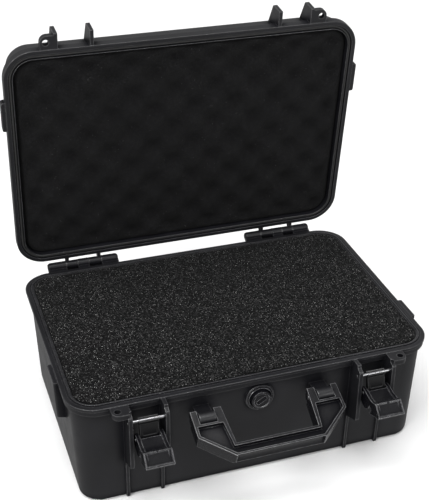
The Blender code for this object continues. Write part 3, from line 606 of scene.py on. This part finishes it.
def base_shell():
    bm = bmesh.new()
    loft(bm, [rim_ring(inset, z) for inset, z in base_profile()])
    body = as_object("base_shell_look", bm)
    extra = bmesh.new()
    for x in rib_xs():
        prism(extra, rib_outline(), "x", x - RIB_HALF, x + RIB_HALF, edge=0.7 * MM)
        prism(extra, runner_outline(), "x", x - 1.9 * MM, x + 1.9 * MM, edge=0.6 * MM)
    for side in (-1, 1):
        for free, other, dome in ((85.5, 107, 3.6), (123.4, 137, 0.4), (175, 151.9, 3.6)):
            knuckle(extra, side, free * MM, other * MM, dome * MM)
        prism(extra, hinge_shelf(), "x", side * 89 * MM, side * 171.5 * MM, edge=0.6 * MM)
        side_lug(extra, side, 9 * MM, [(RIM - 0.7 * MM, 4.5), (RIM - 1.2 * MM, 5), (RIM - 46 * MM, 3.5),
                                       (RIM - 46.8 * MM, 2.8), (RIM - 48.8 * MM, -6)])
        prism(extra, ear_outline(side), "z", RIM - 7.1 * MM, RIM - 0.7 * MM, edge=0.6 * MM)
        neck = arc(HANDLE_PIVOT, 7.4 * MM, 20, 305, 28)
        root = FRONT + 8 * MM
        barrel = [(root, HANDLE_PIVOT[1] + 2 * MM), *neck, (root, HANDLE_PIVOT[1] - 6.4 * MM)]
        prism(extra, barrel, "x", side * 58.6 * MM, side * 76.6 * MM, edge=1.1 * MM, corner=0)
    boss = [(16.6, 9), (16.6, 3.2), (16.1, 2.6), (14.9, 2.4), (14.7, 3.4), (0.05, 3.4), (0.05, 9)]
    turned(extra, [(r * MM, FRONT + y * MM) for r, y in boss], around_valve)
    boolean(body, extra, "UNION")

    holes = bmesh.new()
    for side in (-1, 1):
        centre = side * LATCH_X
        tool_x(holes, arc(LATCH_PIVOT, PIN_BORE, 0, 360, 24)[:-1], centre - 24.3 * MM, centre + 24.3 * MM)
        tool_x(holes, arc(HINGE, PIN_BORE, 0, 360, 24)[:-1], side * 87.5 * MM, side * 173 * MM)
        tool_x(holes, arc(HANDLE_PIVOT, HANDLE_BORE, 0, 360, 24)[:-1], side * 56.6 * MM, side * 78.6 * MM)
        ring = arc((side * EAR_HOLE[0], EAR_HOLE[1]), EAR_HOLE_RADIUS, 0, 360, 28)[:-1]
        prism(holes, ring, "z", RIM - 10 * MM, RIM + 1 * MM, edge=0, corner=0)
    disc_y(holes, VALVE, VALVE_BORE, FRONT - 4 * MM, FRONT + 16 * MM)
    boolean(body, holes, "DIFFERENCE")
    settle(body)
    return body


def around_valve(angle, radius, along):
    return Vector((VALVE[0] + radius * math.cos(angle), along, VALVE[1] + radius * math.sin(angle)))


def lid_shell():
    bm = bmesh.new()
    loft(bm, [rim_ring(inset, z) for inset, z in lid_profile()])
    body = as_object("lid_shell_look", bm)
    extra = bmesh.new()
    for x in rib_xs():
        prism(extra, fin_outline(), "x", x - RIB_HALF, x + RIB_HALF, edge=0.7 * MM)
    for side in (-1, 1):
        side_lug(extra, side, 3 * MM, [(RIM + 1.1 * MM, 4.5), (RIM + 1.6 * MM, 5), (RIM + 9.8 * MM, 4.7),
                                       (RIM + 10.4 * MM, 4)])
        prism(extra, ear_outline(side), "z", RIM + 1.1 * MM, RIM + 7.6 * MM, edge=0.6 * MM)
        for near, low, high in ((107.3, 107.3, 123.1), (147.6, 137.3, 151.6)):
            ring = arc(HINGE, 5.1 * MM, 0, 360, 32)[:-1]
            prism(extra, ring, "x", side * low * MM, side * high * MM, edge=0.6 * MM, corner=0)
            arm = [
                (BACK - 4 * MM, RIM + 1.4 * MM), (HINGE[0] - 1.5 * MM, RIM + 1.4 * MM),
                (HINGE[0] + 1 * MM, HINGE[1] + 4.2 * MM), (HINGE[0] - 4 * MM, RIM + 8.6 * MM),
                (BACK - 4 * MM, RIM + 9.8 * MM),
            ]
            prism(extra, arm, "x", side * near * MM, side * (near + 4) * MM, edge=0.6 * MM)
    boolean(body, extra, "UNION")
    holes = bmesh.new()
    for side in (-1, 1):
        tool_x(holes, arc(HINGE, PIN_BORE, 0, 360, 24)[:-1], side * 105 * MM, side * 154 * MM)
        ring = arc((side * EAR_HOLE[0], EAR_HOLE[1]), EAR_HOLE_RADIUS, 0, 360, 28)[:-1]
        prism(holes, ring, "z", RIM, RIM + 10 * MM, edge=0, corner=0)
    boolean(body, holes, "DIFFERENCE")
    settle(body)
    turn_about_x(body, HINGE, -LID_ANGLE)
    return body


def gasket():
    rings = []
    for offset, height in arc((0, 0), 1.6 * MM, 0, 360, 14)[:-1]:
        rings.append(rim_ring(7.25 * MM + offset, RIM + 3.1 * MM + height))
    bm = bmesh.new()
    loft(bm, rings, closed=True)
    cord = as_object("lid_gasket_look", bm)
    settle(cord, 60)
    turn_about_x(cord, HINGE, -LID_ANGLE)
    return cord


# Foam


def inside_rounded(x, y, half_x, half_y, radius):
    """How far a point is inside a rounded rectangle's edge."""
    dx, dy = abs(x) - (half_x - radius), abs(y) - (half_y - radius)
    outside = math.hypot(max(dx, 0), max(dy, 0))
    return radius - outside - min(max(dx, dy), 0)


def foam_block(name, inset, low, high, top, pitch=3.2, relief=None, taper=1, edge=2.2 * MM):
    """A foam block whose upper face follows top(x, y), with soft edges and slightly uneven sides."""
    half_x, half_y = WIDTH / 2 - inset, DEPTH / 2 - inset
    radius = CORNER - inset
    bm = bmesh.new()
    across, along = round(2 * half_x / (pitch * MM)), round(2 * half_y / (pitch * MM))

    def point(i, j):
        x, y = half_x * (2 * i / across - 1), half_y * (2 * j / along - 1)
        cx, cy = half_x - radius, half_y - radius
        if abs(x) > cx and abs(y) > cy:
            u, v = (abs(x) - cx) / radius, (abs(y) - cy) / radius
            scale = max(u, v) / math.hypot(u, v) if u or v else 1
            x = math.copysign(cx + u * scale * radius, x)
            y = math.copysign(cy + v * scale * radius, y)
        return x, y

    def lift(x, y):
        near = max(inside_rounded(x, y, half_x, half_y, radius), 0)
        round_off = edge - math.sqrt(max(edge ** 2 - max(edge - near, 0) ** 2, 0))
        rough = noise.noise(Vector((x * 420, y * 420, high * 90))) * 0.12 * MM
        rough += noise.noise(Vector((x * 60, y * 60, 3))) * 0.25 * MM
        return high + top(x, y) + rough - round_off

    grid = []
    for j in range(along + 1):
        row = []
        for i in range(across + 1):
            x, y = point(i, j)
            row.append(bm.verts.new((x, y, lift(x, y))))
        grid.append(row)
    for j in range(along):
        for i in range(across):
            bm.faces.new((grid[j][i], grid[j][i + 1], grid[j + 1][i + 1], grid[j + 1][i]))
    border = [grid[0][i] for i in range(across + 1)]
    border += [grid[j][across] for j in range(1, along + 1)]
    border += [grid[along][i] for i in range(across - 1, -1, -1)]
    border += [grid[j][0] for j in range(along - 1, 0, -1)]
    last = border
    levels = 8
    for k in range(1, levels + 1):
        share = k / levels
        ring = []
        for vert in border:
            x, y = vert.co.x, vert.co.y
            z = vert.co.z * (1 - share) + low * share
            push = 0.15 * MM * noise.noise(Vector((x * 90, y * 90, z * 90))) - 0.15 * MM
            length = math.hypot(x, y)
            narrow = 1 - (1 - taper) * max(share - 0.5, 0) * 2
            ring.append(bm.verts.new(((x + push * x / length) * narrow, (y + push * y / length) * narrow, z)))
        for i in range(len(ring)):
            j = (i + 1) % len(ring)
            bm.faces.new((last[j], last[i], ring[i], ring[j]))
        last = ring
    bm.faces.new(list(reversed(last)))
    made = as_object(name, bm)
    if relief:
        hole = bmesh.new()
        disc_y(hole, *relief)
        boolean(made, hole, "DIFFERENCE")
    made.data.shade_smooth()
    made.data.set_sharp_from_angle(angle=math.radians(55))
    return made


def egg_crate(x, y):
    """Staggered peaks and hollows, as deep as the foam is cut."""
    wave = math.cos(2 * math.pi * x / (49.64 * MM) + 1.705) * math.cos(2 * math.pi * y / (48.67 * MM) + 0.27)
    half_x, half_y = WIDTH / 2 - LID_FOAM_INSET, DEPTH / 2 - LID_FOAM_INSET
    inside = inside_rounded(x, y, half_x, half_y, CORNER - LID_FOAM_INSET)
    blend = min(max(inside / (16 * MM), 0), 1)
    blend = blend * blend * (3 - 2 * blend)
    return 4.9 * MM * wave * blend + 3.2 * MM * (1 - blend)


def egg_crate_turned(x, y):
    """The relief for a block that is made face up and then turned over about X."""
    return egg_crate(x, -y)


def lid_foam():
    """Modelled face up, then turned over into the lid, which stands open."""
    thick = 34 * MM
    block = foam_block("lid_foam_look", LID_FOAM_INSET, 0, thick - 5.5 * MM, egg_crate_turned, 3.0, taper=0.96)
    flip = Matrix.Rotation(math.pi, 4, "X")
    block.data.transform(Matrix.Translation((0, 0, LID_TOP - 3.5 * MM)) @ flip)
    turn_about_x(block, HINGE, -LID_ANGLE)
    return block


# Latches


def around_cam(points):
    return [(CAM[0] + u * MM, CAM[1] + v * MM) for u, v in points]


def latch_link(name, x):
    outer = arc(LATCH_PIVOT, 3.5 * MM, 170, 420, 26)
    bore = arc(LATCH_PIVOT, PIN_BORE, 420, 170, 26)
    bm = bmesh.new()
    prism(bm, outer + bore, "x", x - 10.8 * MM, x + 10.8 * MM, edge=0.3 * MM, corner=0.2 * MM)
    link = as_object(name, bm)
    extra = bmesh.new()
    wrap = arc(CAM, 3.4 * MM, 150, 375, 20)
    waist = LATCH_PIVOT[1] - 3.1 * MM
    outline = [(LATCH_PIVOT[0] - 2.3 * MM, waist), *wrap, (LATCH_PIVOT[0] + 1.1 * MM, waist)]
    prism(extra, outline, "x", x - 10.4 * MM, x + 10.4 * MM, edge=0.5 * MM, corner=0)
    boolean(link, extra, "UNION")
    holes = bmesh.new()
    tool_x(holes, arc(CAM, CAM_BORE, 0, 360, 24)[:-1], x - 12 * MM, x + 12 * MM)
    window = [
        (LATCH_PIVOT[0] - 8 * MM, LATCH_PIVOT[1] - 6 * MM),
        (LATCH_PIVOT[0] - 3.4 * MM, LATCH_PIVOT[1] - 6 * MM),
        (CAM[0] - 1.4 * MM, CAM[1] + 5 * MM),
        (CAM[0] - 8 * MM, CAM[1] + 5 * MM),
    ]
    prism(holes, window, "x", x - 7.5 * MM, x + 7.5 * MM, edge=0.4 * MM, corner=0)
    boolean(link, holes, "DIFFERENCE")
    settle(link)
    return link


def cheek():
    claw = [(12.9, -13.6), (11.2, -14.8), (9.6, -10.8), (-6.6, -17.3)]
    belly = arc((0, 0), LINK_LENGTH - 2.7, -114, -159, 10)
    lip = arc((0, 0), LINK_LENGTH + 2.5, -160, -145, 5)
    tab = [(-20.6, -15.2), (-31.3, -10.6), (-40.5, -7.4), (-41.5, -6.3), (-30.4, 5.6), (-29.0, 5.8)]
    top = [(-24, 3.0), (-14, 2.8), (-4.5, 5), (2.5, 5.2), (7.5, 2.5), (12.0, -3.2), (14.0, -9.4)]
    return around_cam(claw + belly + lip + tab + top)


def latch_lever(name, x):
    half = 15.5 * MM
    plate = [(-29.0, 5.8), (-30.4, 6.2), (-31.2, 5.3), (-30.8, 4.4)]
    plate += [(-41.9, -6.0), (-40.9, -7.6), (-38.4, -7.9), (-28.4, 2.2)]
    bm = bmesh.new()
    prism(bm, around_cam(plate), "x", x - half, x + half, edge=0.5 * MM, corner=0.4 * MM)
    lever = as_object(name, bm)
    extra = bmesh.new()
    prism(extra, cheek(), "x", x - half + 0.3 * MM, x - half + 4.2 * MM, edge=0.5 * MM, corner=0.6 * MM)
    prism(extra, cheek(), "x", x + half - 4.2 * MM, x + half - 0.3 * MM, edge=0.5 * MM, corner=0.6 * MM)
    back = around_cam([(-29.2, 3.4), (-34.5, -9.2), (-31.3, -9.9), (-26.4, 2.2)])
    prism(extra, back, "x", x - half + 1 * MM, x + half - 1 * MM, edge=0.4 * MM)
    deck = [(-28.8, 5.0), (-24, 2.6), (-14, 2.4), (-5, 4.5), (-5, 3.0), (-14, 0.9), (-24, 0.9), (-28.2, 2.0)]
    deck = around_cam(deck)
    prism(extra, deck, "x", x - half + 1 * MM, x + half - 1 * MM, edge=0.3 * MM, corner=0.3 * MM)
    for end in (-1, 1):
        edge_x = x + end * (half - 0.75 * MM)
        border = around_cam([(-30.5, 4.6), (-31.8, 5.6), (-42.6, -4.9), (-41.0, -6.4)])
        prism(extra, border, "x", edge_x - 0.7 * MM, edge_x + 0.7 * MM, edge=0.25 * MM, corner=0.2 * MM)
    foot = around_cam([(-40.2, -4.2), (-41.4, -3.6), (-42.8, -5.0), (-41.4, -6.2)])
    prism(extra, foot, "x", x - half, x + half, edge=0.3 * MM, corner=0.3 * MM)
    boolean(lever, extra, "UNION")
    holes = bmesh.new()
    tool_x(holes, arc(CAM, CAM_BORE, 0, 360, 24)[:-1], x - 20 * MM, x + 20 * MM)
    notch = around_cam([(-34.2, 2.6), (-33.2, 6.2), (-29.4, 8.0), (-28.0, 4.6), (-30.4, 4.4)])
    prism(holes, notch, "x", x - 1.6 * MM, x + 1.6 * MM, edge=0, corner=0.3 * MM)
    boolean(lever, holes, "DIFFERENCE")
    settle(lever)
    return lever


# Handle, modelled hanging straight down


def handle():
    y, z = HANDLE_PIVOT
    front, back = y - 4.5 * MM, y + 13.5 * MM
    top, shoulder, foot = z + 9.8 * MM, z - 23.5 * MM, z - 53 * MM
    half, grip = 84.3 * MM, 50.5 * MM
    inner_top, inner_foot, grip_top = 49.6 * MM, 46.3 * MM, z - 38 * MM
    outer = [(-half, top), (-half, shoulder), (-grip, foot), (grip, foot), (half, shoulder), (half, top)]
    inner = [(inner_top, top), (inner_foot, grip_top), (-inner_foot, grip_top), (-inner_top, top)]
    bm = bmesh.new()
    prism(bm, outer + inner, "y", front, back, edge=1.0 * MM, corner=0.8 * MM)
    body = as_object("handle_look", bm)
    cuts = bmesh.new()
    wall, mouth = 3.2 * MM, z - 11 * MM
    right = [(half - wall, mouth), (half - wall, shoulder + 1.4 * MM), (grip - 1.4 * MM, foot + wall)]
    inside = [(inner_foot + wall, grip_top - wall), (inner_top + wall, mouth)]
    channel = right + [(-u, v) for u, v in reversed(right)]
    channel += [(-u, v) for u, v in reversed(inside)] + inside
    prism(cuts, channel, "y", front - 2 * MM, front + 4.6 * MM, edge=0.6 * MM, corner=1 * MM)
    for side in (-1, 1):
        ends = sorted(side * x for x in (58.0 * MM, 77.2 * MM))
        slot_top, slot_foot = top + 2 * MM, z - 8.5 * MM
        slot = [(ends[0], slot_top), (ends[1], slot_top), (ends[1], slot_foot), (ends[0], slot_foot)]
        prism(cuts, slot, "y", front - 2 * MM, back + 2 * MM, edge=0, corner=0)
    boolean(body, cuts, "DIFFERENCE")
    reach = 90 * MM
    turn = arc(HANDLE_PIVOT, 9.6 * MM, 0, 118, 16)
    rounding = [(back + 2 * MM, z), *turn, (front - 2 * MM, z + 8.2 * MM), (front - 2 * MM, top + 2 * MM)]
    heel = [(back + 2 * MM, foot + 5 * MM), (back - 4 * MM, foot - 1 * MM), (back + 2 * MM, foot - 1 * MM)]
    middle = (front + back) / 2 - 1 * MM
    scoop = arc((middle, foot - 17.6 * MM), 20 * MM, 116, 64, 12)
    scoop += [(middle + 9 * MM, foot - 3 * MM), (middle - 9 * MM, foot - 3 * MM)]
    for outline, half_length in (
        (rounding + [(back + 2 * MM, top + 2 * MM)], reach), (heel, reach), (scoop, grip - 1 * MM)
    ):
        trim = bmesh.new()
        tool_x(trim, outline, -half_length, half_length)
        boolean(body, trim, "DIFFERENCE")
    holes = bmesh.new()
    for side in (-1, 1):
        tool_x(holes, arc(HANDLE_PIVOT, HANDLE_BORE, 0, 360, 24)[:-1], side * 46.6 * MM, side * 82.9 * MM)
    boolean(body, holes, "DIFFERENCE")
    settle(body)
    turn_about_x(body, HANDLE_PIVOT, -HANDLE_ANGLE)
    return body


def pin(name, centre, radius, start, end):
    bm = bmesh.new()
    rod(bm, centre, radius, start, end)
    made = as_object(name, bm)
    settle(made)
    return made


# Purge valve


def valve_ring(name, profile, angle=35):
    """A ring around the valve's axis, from a section in millimetres behind the front face."""
    bm = bmesh.new()
    turned(bm, [(r * MM, FRONT + y * MM) for r, y in profile], around_valve, 48)
    made = as_object(name, bm)
    settle(made, angle)
    return made


def valve_body():
    front = [(2.8, 5.2), (3.1, 4.9), (5.4, 4.9), (5.4, 2.9), (5.7, 2.6)]
    ring = [(11.9, 2.6), (12.1, 1.6), (12.7, 1.2), (13.3, 1.2), (13.9, 1.8), (14.1, 3.1)]
    shank = [(6.1, 3.1), (6.1, 16.6), (5.7, 17), (2.8, 17)]
    return valve_ring("valve_body_look", front + ring + shank)


def valve_knob():
    bm = bmesh.new()
    head = [(8.7, -2.7), (8.9, -3.2), (9.3, -3.5), (10.3, -3.5)]
    head += [(11.0, -3.1), (11.5, -2.3), (11.5, 1.8), (11.2, 2.2)]
    stem = [(2.5, 2.2), (2.5, 11.7), (2.2, 12.0)]
    angles = [2 * math.pi * i / 48 for i in range(48)]
    loft(bm, [[around_valve(a, r * MM, FRONT + y * MM) for a in angles] for r, y in head + stem])
    knob = as_object("valve_knob_look", bm)
    tilt = math.radians(32)
    slot = bmesh.new()
    for half_length, half_width, depth in ((6.2, 2.4, 1.5), (4.6, 0.8, 0.4)):
        corners = [(-half_length, -half_width), (half_length, -half_width), (half_length, half_width),
                   (-half_length, half_width)]
        outline = []
        for u, v in soften([(a * MM, b * MM) for a, b in corners], half_width * 0.8 * MM, 4):
            outline.append((VALVE[0] + u * math.cos(tilt) - v * math.sin(tilt),
                            VALVE[1] + u * math.sin(tilt) + v * math.cos(tilt)))
        prism(slot, outline, "y", FRONT - 6 * MM, FRONT - depth * MM, edge=0, corner=0)
    boolean(knob, slot, "DIFFERENCE")
    settle(knob)
    return knob


def valve_nut():
    bm = bmesh.new()
    prism(bm, arc(VALVE, 10.4 * MM, 0, 360, 6)[:-1], "y", FRONT + 11.3 * MM, FRONT + 15.3 * MM, edge=0.5 * MM)
    nut = as_object("valve_nut_look", bm)
    hole = bmesh.new()
    disc_y(hole, VALVE, VALVE_BORE, FRONT + 10 * MM, FRONT + 17 * MM)
    boolean(nut, hole, "DIFFERENCE")
    settle(nut)
    return nut


def valve_seal():
    return valve_ring("valve_seal_look", arc((4.0, 3.9), 0.8, 0, 360, 12)[:-1], 70)


def flat(x, y):
    return 0


def build():
    place(base_shell(), "base", SHELL, "case_plastic", "base_shell")
    place(lid_shell(), "lid", SHELL, "case_plastic", "lid_shell")
    place(gasket(), "lid", RUBBER, "gasket_rubber", "lid_gasket")
    place(lid_foam(), "lid", LID_FOAM, "lid_foam", "lid_foam")
    middle = (13.8 * MM + RIM - 3 * MM) / 2
    top = foam_block("base_foam_upper_look", 10.8 * MM, middle + 0.5 * MM, RIM + 1.7 * MM, flat, 3.2,
                     (VALVE, 13 * MM, FRONT + 5 * MM, FRONT + 19 * MM), edge=1.3 * MM)
    place(top, "base", BASE_FOAM, "base_foam", "base_foam_upper")
    low = foam_block("base_foam_lower_look", 13.9 * MM, 14.3 * MM, middle - 0.6 * MM, flat, 8)
    place(low, "base", BASE_FOAM, "base_foam", "base_foam_lower")
    pad = foam_block("base_foam_pad_look", 18.6 * MM, 4 * MM, 13.3 * MM, flat, 8)
    place(pad, "base", BASE_FOAM, "base_foam", "base_foam_pad")
    for side, word in ((-1, "left"), (1, "right")):
        x = side * LATCH_X
        made = pin(word + "_hinge_pin_look", HINGE, PIN, side * 87.9 * MM, side * 172.6 * MM)
        place(made, "base", STEEL, "pin_steel", word + "_hinge_pin")
        made = pin(word + "_latch_pivot_pin_look", LATCH_PIVOT, PIN, x - 22.5 * MM, x + 22.5 * MM)
        place(made, "base", STEEL, "pin_steel", word + "_latch_pivot_pin")
        made = pin(word + "_latch_cam_pin_look", CAM, CAM_PIN, x - 15.8 * MM, x + 15.8 * MM)
        place(made, word + "_link", STEEL, "pin_steel", word + "_latch_cam_pin")
        made = pin(word + "_handle_pin_look", HANDLE_PIVOT, HANDLE_PIN, side * 48.6 * MM, side * 82.5 * MM)
        place(made, "base", STEEL, "pin_steel", word + "_handle_pin")
        place(latch_link(word + "_latch_link_look", x), word + "_link", SHADED_LATCH_PLASTIC, "latch_plastic", word + "_latch_link")
        place(latch_lever(word + "_latch_lever_look", x), word + "_lever", GLOSS, "latch_plastic",
              word + "_latch_lever")
    place(handle(), "handle", GLOSS, "latch_plastic", "handle")
    place(valve_body(), "base", GLOSS, "latch_plastic", "valve_body")
    place(valve_nut(), "base", GLOSS, "latch_plastic", "valve_nut")
    place(valve_seal(), "valve_stem", RUBBER, "gasket_rubber", "valve_seal")
    place(valve_knob(), "valve_stem", GLOSS, "latch_plastic", "valve_knob")


# Floor, light and camera


def floor():
    bm = bmesh.new()
    bmesh.ops.create_grid(bm, x_segments=2, y_segments=2, size=6)
    made = as_object("floor", bm)
    n = Nodes("floor_paper", (0.92, 0.92, 0.92), 0.9, specular=0.1)
    n.set("Base Color", n.mix(n.noise(3, 2), (0.90, 0.90, 0.90), (0.93, 0.93, 0.93)))
    made.data.materials.append(n.material)
    made.location.z = -0.0003
    made.visible_glossy = False


def area_light(name, location, target, size, power):
    data = bpy.data.lights.new(name, "AREA")
    data.shape = "RECTANGLE"
    data.size, data.size_y = size
    data.energy = power
    lamp = bpy.data.objects.new(name, data)
    lamp.location = location
    lamp.rotation_euler = (Vector(target) - Vector(location)).to_track_quat("-Z", "Y").to_euler()
    bpy.context.scene.collection.objects.link(lamp)


def lights():
    world = bpy.data.worlds.new("studio")
    world.use_nodes = True
    world.node_tree.nodes["Background"].inputs["Color"].default_value = (1, 1, 1, 1)
    world.node_tree.nodes["Background"].inputs["Strength"].default_value = 0.4
    bpy.context.scene.world = world
    sun = bpy.data.lights.new("sky_panel", "SUN")
    sun.energy = 2.4
    sun.angle = math.radians(70)
    lamp = bpy.data.objects.new("sky_panel", sun)
    lamp.rotation_euler = Vector((0.35, 0.10, -1)).to_track_quat("-Z", "Y").to_euler()
    bpy.context.scene.collection.objects.link(lamp)
    area_light("key", (-1.5, -1.3, 1.1), (0, 0, 0.1), (0.5, 1.3), 17)
    area_light("fill", (1.0, -2.0, 1.0), (0, 0, 0.1), (0.7, 0.9), 13)
    area_light("strip", (-0.2, -0.6, 2.0), (0, -0.1, 0.1), (1.6, 0.1), 11)


def camera():
    data = bpy.data.cameras.new("camera")
    data.sensor_width = 36
    data.lens = 78.176
    data.shift_x = -0.0409
    data.shift_y = 0.0753
    made = bpy.data.objects.new("camera", data)
    forward = Vector((0.2879, 0.7959, -0.5327)).normalized()
    right = Vector((0.9437, -0.3303, 0.0166))
    right = (right - forward * right.dot(forward)).normalized()
    up = right.cross(forward)
    turn = Matrix((right, up, -forward)).transposed().to_4x4()
    made.matrix_world = Matrix.Translation((-0.3482, -1.0140, 0.7046 + RIM)) @ turn
    data.clip_end = 50
    bpy.context.scene.collection.objects.link(made)
    bpy.context.scene.camera = made


build()
floor()
lights()
camera()
bpy.context.scene.view_settings.view_transform = "Standard"
